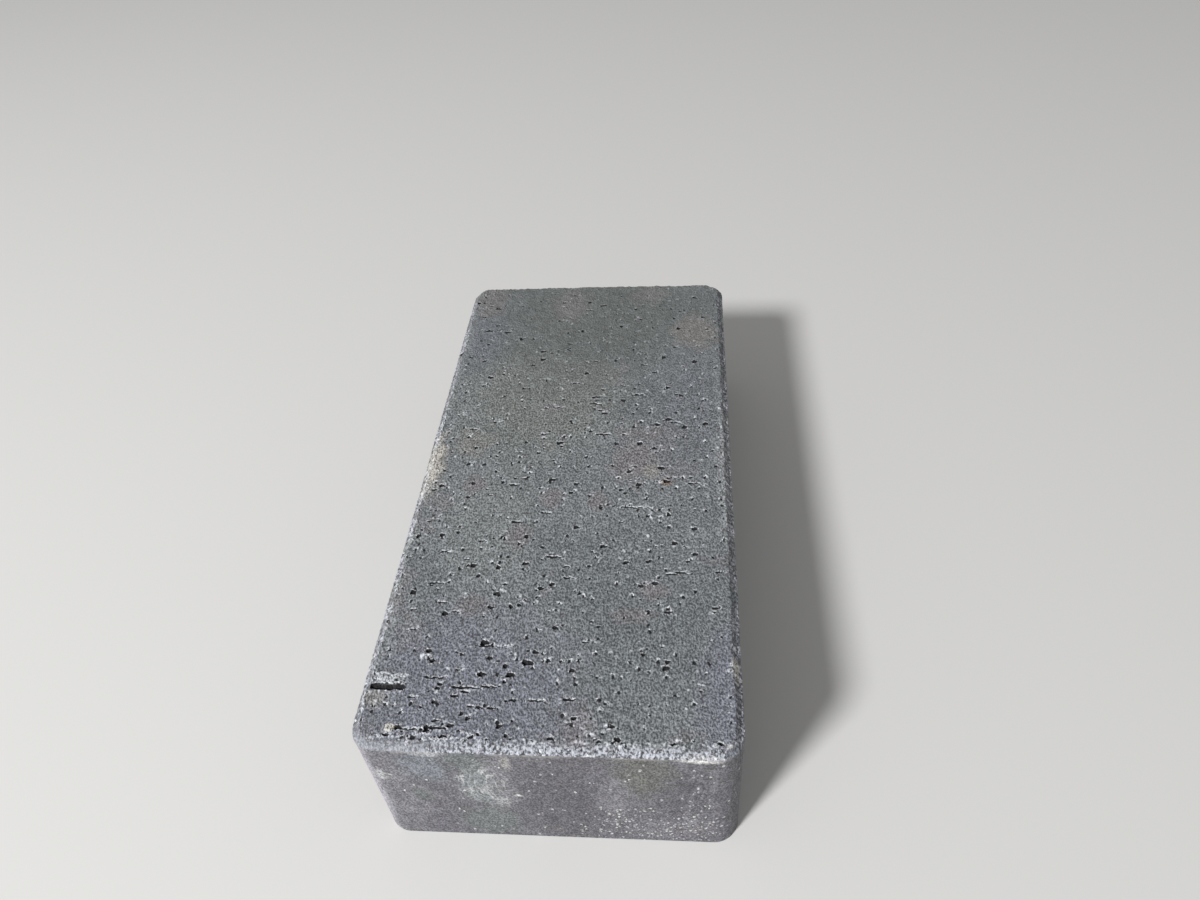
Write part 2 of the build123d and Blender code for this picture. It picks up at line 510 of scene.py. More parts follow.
# x, y, reach across, reach along, count: one round the large tear, two along the near end and
# two along the left side
CRUMB_PATCHES = [
    (-42.0, -80.6, 4.8, 1.6, 60), (-27.0, -96.0, 12.0, 1.6, 50), (0.0, -97.3, 44.0, 0.6, 110),
    (-47.0, 0.0, 1.2, 18.0, 70), (-47.2, -10.0, 0.8, 80.0, 140),
]


def crumbs_by_marks(marks, count, seed):
    """Random crumbs: two thirds beside a mark, on its far right, the others anywhere."""
    chance = np.random.default_rng(seed)
    beside = np.array(marks)[chance.integers(len(marks), size=count)]
    x = beside[:, 0] + beside[:, 2] / 2 + chance.normal(0.4, 0.7, count)
    y = beside[:, 1] + beside[:, 3] / 2 + chance.normal(0.2, 0.7, count)
    loose = chance.random(count) < 1 / 3
    x[loose] = chance.uniform(-half_width, half_width, loose.sum())
    y[loose] = chance.uniform(-half_length, half_length, loose.sum())
    share = chance.random(count)
    return list(zip(x, y, 0.3 + 0.3 * share, 0.14 + 0.22 * share))


def crumbs_in_patch(x, y, reach_x, reach_y, count, seed):
    """Random crumbs crowded into a patch."""
    chance = np.random.default_rng(seed)
    places = chance.uniform(-1, 1, (count, 2)) * (reach_x, reach_y) + (x, y)
    share = chance.random(count)
    return [(*place, 0.3 + 0.35 * s, 0.15 + 0.25 * s) for place, s in zip(places, share)]


crumb_list = LARGE_CRUMBS + crumbs_by_marks(top_marks, 420, 41)
for patch_number, patch in enumerate(CRUMB_PATCHES):
    crumb_list += crumbs_in_patch(*patch, 42 + patch_number)
print(f"{len(crumb_list)} crumbs")

# %% [markdown]
# **The relief of the top.** Everything adds up: sag, leather, the strokes of the brush, crumbs
# and marks. The sum is later lowered by a skin, so that the ground lies below the full thickness
# and only the highest crumbs reach it.

# %% Shape the cut top
top_skin = 0.3
sag_height, sag_width = 0.08, 42.0
leather_height, leather_size = 0.06, (4.0, 2.6, 4.0)


def raise_crumbs(points, crumbs, seed):
    """Height of the crumbs, each a low dome with a ragged outline."""
    x, y = ragged(points, seed)
    raised = np.zeros(len(points))
    for crumb_x, crumb_y, radius, height in crumbs:
        near = np.flatnonzero((abs(x - crumb_x) < radius) & (abs(y - crumb_y) < radius))
        away = np.hypot(x[near] - crumb_x, y[near] - crumb_y) / radius
        raised[near] = np.maximum(raised[near], height * (1 - np.minimum(away, 1) ** 3))
    return raised


crumbs = raise_crumbs(top_points, crumb_list, 36)
sag = sag_height * noise(top_points, sag_width, 51)
leather = leather_height * layered_noise(top_points, leather_size, 52, layers=2)
top_relief = sag + leather + stroke_height * on_bevel * stroke_pattern + crumbs + torn_relief
print(f"top relief from {top_relief.min():.2f} to {top_relief.max():.2f} mm")

# %% [markdown]
# ## Sides and underside
#
# The sides are die skin: the column slid along steel, so they are smooth, with a slow sag and a
# small pock here and there. The drag lines are too shallow to be worth points and are left to
# the material. Where the bevelling tool pushed clay over the edge, a thin lip hangs under the
# bevel, and the lower edge is nicked a little.

# %% Shape the sides
side_skin = 0.15
edge_strip = 1.5         # close to the upper and the lower edge the rows lie closer together
row_steps = (0.4, 0.8, 0.25)
side_sag_height = 0.07
pock_depth = 0.35
nick_depth = 0.5
nick_reach = 1.2         # how far up the nicks run
lip_height = 0.12
lip_drop, lip_spread = 0.45, 0.3     # how far under the bevel the lip lies, and how thick it is

inner = np.arange(len(flat_x)).reshape(grid_x.shape)
outline = np.concatenate([inner[:, 0], inner[-1, 1:], inner[-2::-1, -1], inner[0, -2:0:-1]])
side_top = thickness - bevel_down
side_levels = grid_lines([0, edge_strip, side_top - edge_strip, side_top], row_steps)[1:-1][::-1]

side_points = np.concatenate([
    np.column_stack([flat_x[outline], flat_y[outline], np.full(len(outline), level)])
    for level in side_levels
])
side_sag = side_sag_height * noise(side_points, 30.0, 64)
pocks = -pock_depth * smooth_step(noise(side_points, 1.7, 66), 0.6, 0.75)
lip_place = smooth_step(noise(side_points, 14.0, 67), -0.05, 0.3)
lip = lip_height * lip_place * np.exp(-((side_top - lip_drop - side_points[:, 2]) / lip_spread) ** 2)
nicks = -nick_depth * smooth_step(noise(side_points, 3.2, 68), 0.3, 0.6)
nicks *= smooth_step(-side_points[:, 2], -nick_reach, 0)
side_relief = side_sag + pocks + lip + nicks
print(f"{len(side_levels)} rows down the sides, {len(side_points)} points")

# %% [markdown]
# **The underside.** It is the other wire cut, so it gets marks and sag of its own. It was never
# bevelled, and its edge is plain.

# %% Shape the underside
underside_skin = 0.12
under_taper = 0.5
under_sag_height, under_sag_width = 0.06, 40.0

under_points = np.column_stack([flat_x, flat_y, np.zeros(len(flat_x))])
under_marks = scattered(150, 71, (0.9, 2.4), (0.8, 1.8), (0.3, 1.0))
under_marks += scattered(25, 72, (3.0, 9.0), (0.7, 1.0), (0.3, 0.8))
under_marks = [(*mark, under_taper) for mark in under_marks]
under_relief, under_hollow, under_edge_highlight_mask, under_rough = carve(under_points, under_marks, 81)
under_relief += under_sag_height * noise(under_points, under_sag_width, 84)
print(f"{len(under_marks)} marks below, the deepest {-under_relief.min():.2f} mm")

# %% [markdown]
# ## From points to one closed mesh
#
# The points of the top, of the rows down the sides and of the underside are numbered in that
# order. The quads between them could be made one by one, but taking whole neighbouring lines of
# numbers at once is short and fast. The sides share their first and last row with the two cuts,
# so the skin is closed by itself.

# %% Join the points with quads
def grid_faces(numbers):
    """Quads between neighbouring lines of a grid of point numbers."""
    quads = np.stack([numbers[:-1, :-1], numbers[1:, :-1], numbers[1:, 1:], numbers[:-1, 1:]], -1)
    return quads.reshape(-1, 4)


def ring_faces(upper, lower):
    """Quads between two closed rows of point numbers that run anticlockwise from above."""
    return np.column_stack([lower, np.roll(lower, -1), np.roll(upper, -1), upper])


def block_faces():
    """All quads of the block, facing outwards."""
    top_count, row_count = len(flat_x), len(outline)
    under = inner + top_count + row_count * len(side_levels)
    side_rows = [top_count + row_count * n + np.arange(row_count) for n in range(len(side_levels))]
    rings = [outline, *side_rows, under.ravel()[outline]]
    sides = [ring_faces(upper, lower) for upper, lower in zip(rings, rings[1:])]
    return np.concatenate([grid_faces(inner), *sides, grid_faces(under)[:, ::-1]])


block_quads = block_faces()
print(f"{len(block_quads)} quads")

# %% [markdown]
# ** Relief and masks.** All points are moved along the surface's own normal, which needs the
# plain mesh first: Blender works out its normals, and numpy moves the points. The result is
# clipped to the CAD box, so the dressed block never grows past its real size. The masks are
# stored on the points as attributes, because a material can read those: the rubbed bevel and its
# strokes, the painted shade in the hollows, the painted highlights on torn edges and crumbs, and
# the rough ground round a mark. A vertex group names the points that may be thinned out later.
# It leaves out those on a painted highlight or on the border of a painted shade, whose lines
# would blur if they went.

# %% Build the dense mesh
skin_fade = 0.6                      # millimetres from the side over which the top's skin sets in
crumb_light = 0.6                    # how strong the painted highlight on a crumb is, beside that on a torn edge
crumb_levels = (0.06, 0.2)           # heights between which a crumb turns light
lightest_plain = 0.3                 # light above this belongs to a rim
border_band = 0.4                    # how far from half dark the border of a hollow reaches


def read_all(items, name, width=3, kind=np.float32):
    """A property of all points, faces or corners of a mesh, one row for each."""
    values = np.empty(len(items) * width, kind)
    items.foreach_get(name, values)
    return values.reshape(-1, width)


def store_mask(mesh, name, top, side, under):
    """A mask on the points of a mesh, from its values on the three parts of the block."""
    values = np.concatenate([top, side, under]).astype(np.float32)
    mesh.attributes.new(name, "FLOAT", "POINT").data.foreach_set("value", values)


def keep_in_box(mesh):
    """Clips a mesh to the CAD box."""
    points = np.clip(read_all(mesh.vertices, "co"), np.array(paver_low), np.array(paver_high))
    mesh.vertices.foreach_set("co", points.astype(np.float32).ravel())
    mesh.update()


def crisp_border(light, hollow):
    """Whether a point lies on a painted highlight or on the border of a hollow's painted shade."""
    return (light > lightest_plain) | (abs(hollow - 0.5) < border_band)


def make_block():
    """The dense block, with its relief and its masks."""
    block_points = np.concatenate([top_points, side_points, under_points])
    relief = np.concatenate([
        top_relief - top_skin * smooth_step(from_side, 0, skin_fade) - side_skin,
        side_relief - side_skin,
        under_relief - underside_skin,
    ])
    mesh = bpy.data.meshes.new("paver_dense")
    mesh.from_pydata((block_points * MM).tolist(), [], block_quads.tolist())
    moved = (block_points + read_all(mesh.vertices, "normal") * relief[:, None]) * MM
    mesh.vertices.foreach_set("co", moved.astype(np.float32).ravel())
    keep_in_box(mesh)

    # the light mask paints highlights on the far edges of marks and on the crumbs
    light = np.maximum(edge_highlight_mask, crumb_light * smooth_step(crumbs, *crumb_levels))
    side_zeros, under_zeros = np.zeros(len(side_points)), np.zeros(len(under_points))
    store_mask(mesh, "rubbed", rubbed, side_zeros, under_zeros)
    store_mask(mesh, "stroke", 0.5 + 0.5 * stroke_pattern, side_zeros + 0.5, under_zeros + 0.5)
    store_mask(mesh, "hollow", hollow, side_zeros, under_hollow)
    store_mask(mesh, "light", light, side_zeros, under_edge_highlight_mask)
    store_mask(mesh, "rough", rough_ground, side_zeros, under_rough)
    block = bpy.data.objects.new("paver_block", mesh)
    crisp = np.concatenate([crisp_border(light, hollow), side_zeros > 0, under_zeros > 0])
    block.vertex_groups.new(name="may_be_thinned").add(np.flatnonzero(~crisp).tolist(), 1.0, "REPLACE")
    print(f"{np.mean(crisp):.0%} of the points are kept for crisp rims")
    return block


paver = make_block()
bpy.context.scene.collection.objects.link(paver)
print(f"dense block {len(paver.data.polygons)} quads")

# %% [markdown]
# ## Points only where they are needed
#
# The dense block has far more faces than the smooth sides need. The Decimate modifier collapses
# edges where the surface hardly changes, so the die skin becomes light and the torn top keeps
# its detail. The vertex group holds it off the crisp rims. Edges that still turn sharply are
# then marked sharp, so that smooth shading doesn't round the rims of the pits.

# %% Thin the mesh out
triangle_limit = 196000
sharp_turn = math.radians(50)
lowest_strip = 1.2                   # millimetres; faces lower than this count as below


def thin_out(piece):
    """Decimates a piece to the triangle limit and applies the result."""
    thin = piece.modifiers.new("thin_out", "DECIMATE")
    thin.ratio = triangle_limit / (2 * len(piece.data.polygons))
    thin.vertex_group = "may_be_thinned"
    graph = bpy.context.evaluated_depsgraph_get()
    light = bpy.data.meshes.new_from_object(piece.evaluated_get(graph))
    piece.modifiers.clear()
    piece.vertex_groups.clear()
    piece.data = light
    light.name = piece.name
    keep_in_box(light)
    light.polygons.foreach_set("use_smooth", np.ones(len(light.polygons), bool))
    light.set_sharp_from_angle(angle=sharp_turn)


def count_by_place(mesh):
    """How many faces lie on top, on the sides and below."""
    height = read_all(mesh.polygons, "center")[:, 2] / MM
    on_top = np.sum(height > side_top)
    below = np.sum(height < lowest_strip)
    return f"{on_top} on top, {len(height) - on_top - below} on the sides, {below} below"


def open_edges(mesh):
    """How many edges do not have exactly two faces; a closed skin has none."""
    corner_edges = read_all(mesh.loops, "edge_index", 1, np.int32).ravel()
    return int(np.sum(np.bincount(corner_edges, minlength=len(mesh.edges)) != 2))


thin_out(paver)
print(f"paver {len(paver.data.polygons)} faces: {count_by_place(paver.data)}")
print(f"open edges {open_edges(paver.data)}")

# %% [markdown]
# ## Recipes made of shader nodes
#
# The cut faces and the die skin are the same clay, so they share what the clay does: its mottled
# colour, its sandy grain, its dots of lime and the stains that lie on it. Each of these is a
# node group, built once, and the materials place it with sizes and colours of their own. A
# fifth group, the drag marks, serves the cut faces alone, and is a pattern in its own right.
#
# A recipe of nodes is mostly sums. Written node by node it could not be read, so a signal wraps
# an output socket, and reckoning with signals adds the nodes.

# %% Signals that add nodes
class Signal:
    """An output socket that can be added, multiplied and so on."""

    def __init__(self, tree, socket):
        self.tree = tree
        self.socket = socket

    def __add__(self, other):
        return reckon("ADD", self, other)

    def __sub__(self, other):
        return reckon("SUBTRACT", self, other)

    def __rsub__(self, other):
        return reckon("SUBTRACT", other, self)

    def __mul__(self, other):
        return reckon("MULTIPLY", self, other)

    def __truediv__(self, other):
        return reckon("DIVIDE", self, other)


def signals(tree, sockets):
    """Output sockets as signals, by number and by name."""
    by_number = {number: Signal(tree, socket) for number, socket in enumerate(sockets)}
    return by_number | {socket.name: by_number[number] for number, socket in enumerate(sockets)}


def fill(tree, socket, value):
    """Links a signal to an input socket, or sets the socket to a number, a vector or a colour."""
    if isinstance(value, Signal):
        tree.links.new(value.socket, socket)
    elif hasattr(value, "__len__"):
        socket.default_value = (*value, 1.0)[:len(socket.default_value)]
    else:
        socket.default_value = value


def add_node(tree, kind, settings=(), **sockets):
    """The outputs of a new node, whose inputs are filled by number (_0, _1) or by name."""
    node = tree.nodes.new(kind)
    for key, value in dict(settings).items():
        setattr(node, key, value)
    for key, value in sockets.items():
        fill(tree, node.inputs[int(key[1:]) if key[1:].isdigit() else key.replace("_", " ")], value)
    return signals(tree, node.outputs)


def is_vector(value):
    """Whether a value or a signal is a vector or a colour."""
    return value.socket.type != "VALUE" if isinstance(value, Signal) else hasattr(value, "__len__")


def reckon(operation, first, second=0.0):
    """The result of a Math node, or of a Vector Math node if a vector takes part."""
    tree = (first if isinstance(first, Signal) else second).tree
    kind = "ShaderNodeVectorMath" if is_vector(first) or is_vector(second) else "ShaderNodeMath"
    return add_node(tree, kind, {"operation": operation}, _0=first, _1=second)[0]


# %% [markdown]
# **Short names for common nodes.** A few nodes serve nearly every recipe: ramps that turn a
# noise into a mask, blends, and the noise and cell patterns themselves. Each gets a function
# that hands on just the output that is wanted.

# %% Ramps, blends and patterns
def ramp(value, low, high):
    """0 below low and 1 above high, with an easy turn."""
    return add_node(value.tree, "ShaderNodeMapRange", {"interpolation_type": "SMOOTHSTEP"},
                    Value=value, From_Min=low, From_Max=high)[0]


def blend(share, first, second):
    """Two values or two colours mixed by a share."""
    if is_vector(first):
        settings = {"data_type": "RGBA"}
        return add_node(share.tree, "ShaderNodeMix", settings, _0=share, _6=first, _7=second)[2]
    return add_node(share.tree, "ShaderNodeMix", _0=share, _2=first, _3=second)[0]


def larger(first, second):
    """The larger of two values."""
    return reckon("MAXIMUM", first, second)


def length_of(vector):
    """How long a vector is."""
    return add_node(vector.tree, "ShaderNodeVectorMath", {"operation": "LENGTH"}, _0=vector)["Value"]


def axes_of(vector):
    """The parts X, Y and Z of a vector."""
    return add_node(vector.tree, "ShaderNodeSeparateXYZ", _0=vector)


def noise_texture(place, size=None, detail=2.0, roughness=0.5):
    """The value of a noise whose cells have a given size, or 1."""
    return add_node(place.tree, "ShaderNodeTexNoise", Vector=place / size if size else place, Scale=1.0,
                    Detail=detail, Roughness=roughness)[0]


def shaking(place, scale, detail):
    """A noise vector that shifts a place, so that a regular pattern turns ragged."""
    return add_node(place.tree, "ShaderNodeTexNoise", Vector=place, Scale=scale, Detail=detail)["Color"]


def cells_at(in_cells, dimensions):
    """A Voronoi pattern, and three chances that are the same all over a cell."""
    settings = {"voronoi_dimensions": dimensions}
    cells = add_node(in_cells.tree, "ShaderNodeTexVoronoi", settings, Vector=in_cells, Scale=1.0)
    return cells, add_node(in_cells.tree, "ShaderNodeSeparateColor", Color=cells["Color"])


# %% [markdown]
# **Groups.** A group is a recipe with named inputs and results. Its sockets could be listed
# kind by kind, but a default value already tells the kind of an input, and a result brings its
# own.

# %% Begin and finish a group
ANYWHERE = (0.0, 0.0, 0.0)
ANY_COLOUR = (0.5, 0.5, 0.5, 1.0)
SOCKET_KINDS = {1: "NodeSocketFloat", 3: "NodeSocketVector", 4: "NodeSocketColor"}


def begin_group(group_name, **inputs):
    """A shader group and what it is given; the kinds of its inputs follow from their defaults."""
    tree = bpy.data.node_groups.new(group_name, "ShaderNodeTree")
    for key, default in inputs.items():
        kind = SOCKET_KINDS[np.size(default)]
        socket = tree.interface.new_socket(name=key.replace("_", " "), in_out="INPUT", socket_type=kind)
        socket.default_value = default
    return tree, signals(tree, tree.nodes.new("NodeGroupInput").outputs)


def finish_group(tree, **results):
    """Makes an output for each result of a group."""
    for name, signal in results.items():
        kind = SOCKET_KINDS[4 if is_vector(signal) else 1]
        tree.interface.new_socket(name=name, in_out="OUTPUT", socket_type=kind)
    outlet = tree.nodes.new("NodeGroupOutput")
    for name, signal in results.items():
        fill(tree, outlet.inputs[name], signal)
    return tree


# %% [markdown]
# **Mottled clay.** Firing with little air turns the clay slate grey, but not evenly: some parts
# lean to green, some to brown. Slow noises at different places choose between three colours.

# %% Group for the mottled colour
greener_levels = (0.42, 0.62)            # the noise between which slate turns green grey
browner_levels = (0.54, 0.72)            # and that turns brown grey
another_place = (7.3, 2.1, 4.4)          # where the second noise is read


def build_mottled_clay():
    """The slow changes of colour."""
    tree, given = begin_group("mottled_clay", Place=ANYWHERE, Patch_Size=30.0, Slate=ANY_COLOUR,
                              Green_Grey=ANY_COLOUR, Brown_Grey=ANY_COLOUR)
    patches = given["Place"] / given["Patch Size"]
    greener = ramp(noise_texture(patches, detail=3.0, roughness=0.55), *greener_levels)
    browner = ramp(noise_texture(patches + another_place, detail=4.0, roughness=0.6), *browner_levels)
    ground = blend(greener, given["Slate"], given["Green Grey"])
    return finish_group(tree, Color=blend(browner, ground, given["Brown Grey"]))


# %% [markdown]
# ** Sandy grain.** The clay is full of fine sand. A layered noise gives the uneven paste, and a
# second one, read elsewhere, gives the grains that stand out pale: lime on the die skin, and on the
# cut clay painted glints. Height and tone come from the same pattern, because on the real surface
# what stands up is also lighter.

# %% Group for the grain
paste_levels = (0.3, 0.7)                # the noise between which the paste turns light
grain_levels = (0.62, 0.74)              # and between which a grain stands out
grain_rise = 0.8                         # how high a grain stands, against the paste
grain_place = (3.1, 8.2, 5.7)            # where the noise of the grains is read


def build_sandy_grain():
    """The uneven paste and the grains in it."""
    tree, given = begin_group("sandy_grain", Place=ANYWHERE, Grain_Size=(0.7, 0.7, 0.7))
    fine = given["Place"] / given["Grain Size"]
    tone = ramp(noise_texture(fine, roughness=0.6), *paste_levels)
    grains = ramp(noise_texture(fine + grain_place, roughness=0.55), *grain_levels)
    return finish_group(tree, Height=grains * grain_rise + tone, Tone=tone, Grains=grains)


# %% [markdown]
# ** Dots.** Lime and sand show as tiny pale dots, and on the cut clay they also stand in as
# painted glints. A share of the cells of a Voronoi pattern gets one, of a random size and
# strength. Noise shakes the pattern first, so that the dots lie in no order and none is quite round.

# %% Group for the dots
dot_shake = 1.6                          # scale of the noise that shakes the dots
dot_border = (-0.02, 0.03)               # where a dot begins and is full, in cells
dot_chances = (-0.3, 0.9)                # the chances that make a dot faint or strong


def build_dots():
    """Dots of random size, in a share of the cells."""
    tree, given = begin_group("scattered_dots", Place=ANYWHERE, Spacing=3.0, Share=0.3, Dot_Size=0.3)
    shaken = given["Place"] + shaking(given["Place"], dot_shake, detail=2.0)
    cells, chances = cells_at(shaken / given["Spacing"], "3D")
    chosen = reckon("LESS_THAN", chances[0], given["Share"])
    inside = given["Dot Size"] * chances[1] - cells["Distance"]
    strength = chosen * ramp(chances[2], *dot_chances)
    return finish_group(tree, Mask=strength * ramp(inside, *dot_border))


# %% [markdown]
# ** Drag marks.** Between the marks that are shaped in the mesh lie hundreds of finer ones. A
# share of the cells of a flat Voronoi pattern gets one: a head that the material dents and paints
# dark as shade, painted glints on specks round its far side, and a thin painted glint along a burr
# that runs on to the right. Distances are turned back into millimetres inside a cell, so a mark
# keeps its size when the spacing is changed. Raising the drawn size to a power makes small heads
# common and large ones rare, as they are in the clay.

# %% Group for the drag marks
head_shift = (1.5, 1.1, 0.0)             # how far noise pulls a mark out of shape
head_squash = (1.1, 0.8, 0.0)            # shortens a head across the block, draws it out along
head_power = 1.6
head_glint_size = (0.8, 1.0, 0.8)             # of the painted glints, in millimetres
head_glint_levels = (0.5, 0.57)               # the noise between which a painted glint shows
burr_offset = 0.06                       # how far beyond the middle of its head a burr runs
burr_light = 0.6                         # of a burr, against a speck


def build_drag_marks():
    """Heads, which the material paints dark as shade, and painted glints on the specks and burrs beside
    them.
    """
    tree, given = begin_group("drag_marks", Place=ANYWHERE, Spacing=3.0, Share=0.4, Head_Size=0.5,
                              Tail_Length=2.5)
    place, spacing = given["Place"], given["Spacing"]
    in_cells = (place + shaking(place, 1.4, detail=3.0) * head_shift) / spacing
    cells, chances = cells_at(in_cells, "2D")
    chosen = reckon("LESS_THAN", chances[0], given["Share"])
    own_size = reckon("POWER", chances[1], head_power)
    away = (in_cells - cells["Position"]) * spacing
    inside = given["Head Size"] * own_size - length_of(away * head_squash)
    head = chosen * ramp(inside, -0.03, 0.05)

    # the Light output paints glints: specks round the far side of a head and a thin line along its burr
    to_right, to_rear = axes_of(away)["X"], axes_of(away)["Y"]
    round_head = ramp(inside, -0.9, -0.2) * ramp(to_rear, -0.5, 0.3)
    specks = round_head * ramp(noise_texture(place, head_glint_size), *head_glint_levels)
    on_line = 1.0 - ramp(reckon("ABSOLUTE", to_rear - burr_offset), 0.06, 0.15)
    before_end = given["Tail Length"] * chances[2] - to_right
    burr = on_line * (ramp(to_right, 0.0, 0.2) * ramp(before_end, 0.0, 0.5)) * burr_light
    light = chosen * larger(specks, burr) * ramp(own_size, 0.15, 0.8)
    return finish_group(tree, Head=head, Light=light - head)


# %% [markdown]
# **A stain.** Scum, dust and firing colours lie in patches at certain places. The group measures
# how far a point is from the patch's middle, as a share of its reach in each direction, and lets
# noise tear the border. The mask fades from the middle outwards, so a reach is set wider than
# the patch that is seen.

# %% Group for a stain
stain_fade = 0.7                         # the share of its reach over which a stain fades
tear_size = (6.0, 6.0, 6.0)              # of the noise that tears the border, in millimetres


def build_stain():
    """A patch round a place, with a torn border."""
    tree, given = begin_group("stain", Place=ANYWHERE, Middle=ANYWHERE, Reach=(10.0, 10.0, 10.0),
                              Patchiness=1.0)
    distance = length_of((given["Place"] - given["Middle"]) / given["Reach"])
    torn = noise_texture(given["Place"], tear_size, detail=5.0, roughness=0.65) - 0.5
    inside = 1.0 - distance - torn * given["Patchiness"]
    return finish_group(tree, Mask=ramp(inside, 0.0, stain_fade))


mottled_clay, sandy_grain = build_mottled_clay(), build_sandy_grain()
scattered_dots, drag_marks, stain = build_dots(), build_drag_marks(), build_stain()
print("shader groups:", ", ".join(group.name for group in bpy.data.node_groups))

# %% [markdown]
# ## Two finishes of one clay
#
# The wire-cut finish is dull and grainy and turns pale on the bevel, where the broken grains face
# the light. The die skin is smoother and leans to mauve, with swirls of scum and a dusting of
# lime. Both read their place from the object's own coordinates, in millimetres, so a stain can
# be put where the real one is.

# %% Helpers for the two materials
def new_material(name):
    """A material with its shader and a place in millimetres."""
    material = bpy.data.materials.new(name)
    material.use_nodes = True
    tree = material.node_tree
    where = add_node(tree, "ShaderNodeTexCoord")["Object"]
    place = add_node(tree, "ShaderNodeVectorMath", {"operation": "SCALE"}, _0=where, Scale=1 / MM)[0]
    return material, tree.nodes["Principled BSDF"], place


def use_group(group, place, **sockets):
    """The outputs of a placed group, whose inputs are filled by name."""
    return add_node(place.tree, "ShaderNodeGroup", {"node_tree": group}, Place=place, **sockets)


def stored_masks(tree):
    """The masks that were stored on the mesh, by name."""
    names = ("rubbed", "stroke", "hollow", "light", "rough")
    return {name: add_node(tree, "ShaderNodeAttribute", {"attribute_name": name})["Fac"] for name in names}


def shade(colour, tone, low, high):
    """A colour made darker or lighter by a tone that runs from 0 to 1."""
    strength = add_node(tone.tree, "ShaderNodeMapRange", {"clamp": False},
                        Value=tone, To_Min=low, To_Max=high)[0]
    return reckon("MULTIPLY", colour, strength)


def cover(colour, mask, share, cover_colour):
    """A colour covered by another where a mask is 1, up to a share."""
    return blend(mask * share, colour, cover_colour)


def stain_mask(place, middle, reach, patchiness):
    """Where a stain lies."""
    return use_group(stain, place, Middle=middle, Reach=reach, Patchiness=patchiness)["Mask"]


def lay_stains(colour, place, stains, caught_by=1.0):
    """The stains of a table, laid over a colour one after another, where the surface catches them."""
    for middle, reach, patchiness, share, stain_colour in stains:
        mask = stain_mask(place, middle, reach, patchiness) * caught_by
        colour = cover(colour, mask, share, stain_colour)
    return colour


def bump(height, depth):
    """A normal from a height between 0 and 1, whose full depth is given in millimetres."""
    return add_node(height.tree, "ShaderNodeBump", Height=height, Strength=1.0, Distance=depth * MM)[0]


# %% [markdown]
# **Colours of the cut clay.** The greys are close to each other, and it is their small leanings
# to blue, green, mauve and beige that make fired clay look real. The table puts the firing
# stains where they lie on the top, the large ones first, so that small ones lie over them.

# %% Colours and stains of the cut clay
slate = (0.218, 0.233, 0.245)
pale_slate = (0.232, 0.25, 0.254)
blue_slate = (0.186, 0.198, 0.217)
olive_slate = (0.206, 0.218, 0.207)
beige_slate = (0.262, 0.262, 0.246)
violet_grey = (0.2, 0.209, 0.248)
green_grey = (0.18, 0.196, 0.207)
mauve_grey = (0.226, 0.213, 0.226)
rear_green = (0.158, 0.172, 0.168)
rear_brown = (0.212, 0.206, 0.206)
rear_beige = (0.235, 0.226, 0.22)
rust_brown = (0.23, 0.15, 0.1)
beige_dust = (0.34, 0.325, 0.305)
pale_dust = (0.36, 0.37, 0.38)

# middle, reach, patchiness, share, colour
TOP_STAINS = [
    ((-14, 34, 48), (38, 46, 60), 0.8, 0.9, olive_slate),
    ((2, 80, 48), (62, 54, 60), 0.8, 1.0, rear_green),
    ((-40, 66, 48), (12, 26, 60), 1.2, 0.9, blue_slate),
    ((37, 24, 48), (16, 56, 60), 1.2, 0.8, blue_slate),
    ((-24, -26, 48), (22, 38, 60), 1.0, 0.8, pale_slate),
    ((24, -62, 48), (26, 50, 60), 1.0, 0.9, green_grey),
    ((-22, -88, 48), (40, 42, 60), 0.8, 0.95, violet_grey),
    ((47, -84, 48), (14, 30, 60), 1.0, 0.9, violet_grey),
    ((39, 68, 48), (12, 14, 60), 1.2, 1.0, rear_beige),
    ((-41, 90, 48), (9, 15, 60), 1.2, 1.0, rear_brown),
    ((-9, 86, 48), (9, 15, 60), 1.2, 0.9, rear_brown),
    ((21, 92, 48), (9, 9, 60), 1.4, 0.8, rear_brown),
    ((18, -1, 48), (9, 14, 60), 1.2, 0.9, mauve_grey),
    ((-6, -17, 48), (4.5, 6, 60), 1.4, 0.9, mauve_grey),
    ((8, -18, 48), (4, 5, 60), 1.4, 0.9, mauve_grey),
    ((-14, -32, 48), (5, 6, 60), 1.4, 0.9, mauve_grey),
    ((-31, -11, 48), (5, 6, 60), 1.4, 0.9, mauve_grey),
    ((26, -51, 48), (6, 5, 60), 1.4, 0.9, mauve_grey),
    ((20, -60, 48), (8, 4, 60), 1.6, 0.8, mauve_grey),
    ((-24, -57, 48), (6, 5, 60), 1.4, 0.8, mauve_grey),
    ((-10, 25, 48), (6, 5, 60), 1.4, 0.6, mauve_grey),
    ((-35, 8, 48), (9, 10, 60), 1.4, 0.7, beige_slate),
    ((-46, -3, 48), (6, 19, 60), 1.8, 0.7, beige_dust),
    ((-48, -45, 47), (4, 60, 60), 2.2, 0.45, pale_dust),
    ((-48, 55, 47), (4, 50, 60), 2.2, 0.4, pale_dust),
    ((47, 0, 47), (4, 46, 60), 2.0, 0.5, pale_dust),
    # pale dust on the far slope of the large tear, with a painted highlight where the slope faces the lamp
    ((-42, -80.6, 48), (6, 2.4, 60), 0.8, 0.7, pale_dust),
    ((-44, -86.4, 48), (5, 3.6, 60), 1.8, 0.6, beige_dust),
    ((24, -5, 48), (4, 5, 60), 1.2, 0.6, beige_dust),
    ((28.6, -9.6, 48), (2.6, 2.4, 3), 1.2, 0.9, rust_brown),
]
print(f"{len(TOP_STAINS)} stains on the top")

# %% [markdown]
# **The ground of the cut clay.** The stained colour is shaded by three patterns, each larger
# than the one before: sandy grain, a coarser unevenness, and faint bands along the block.

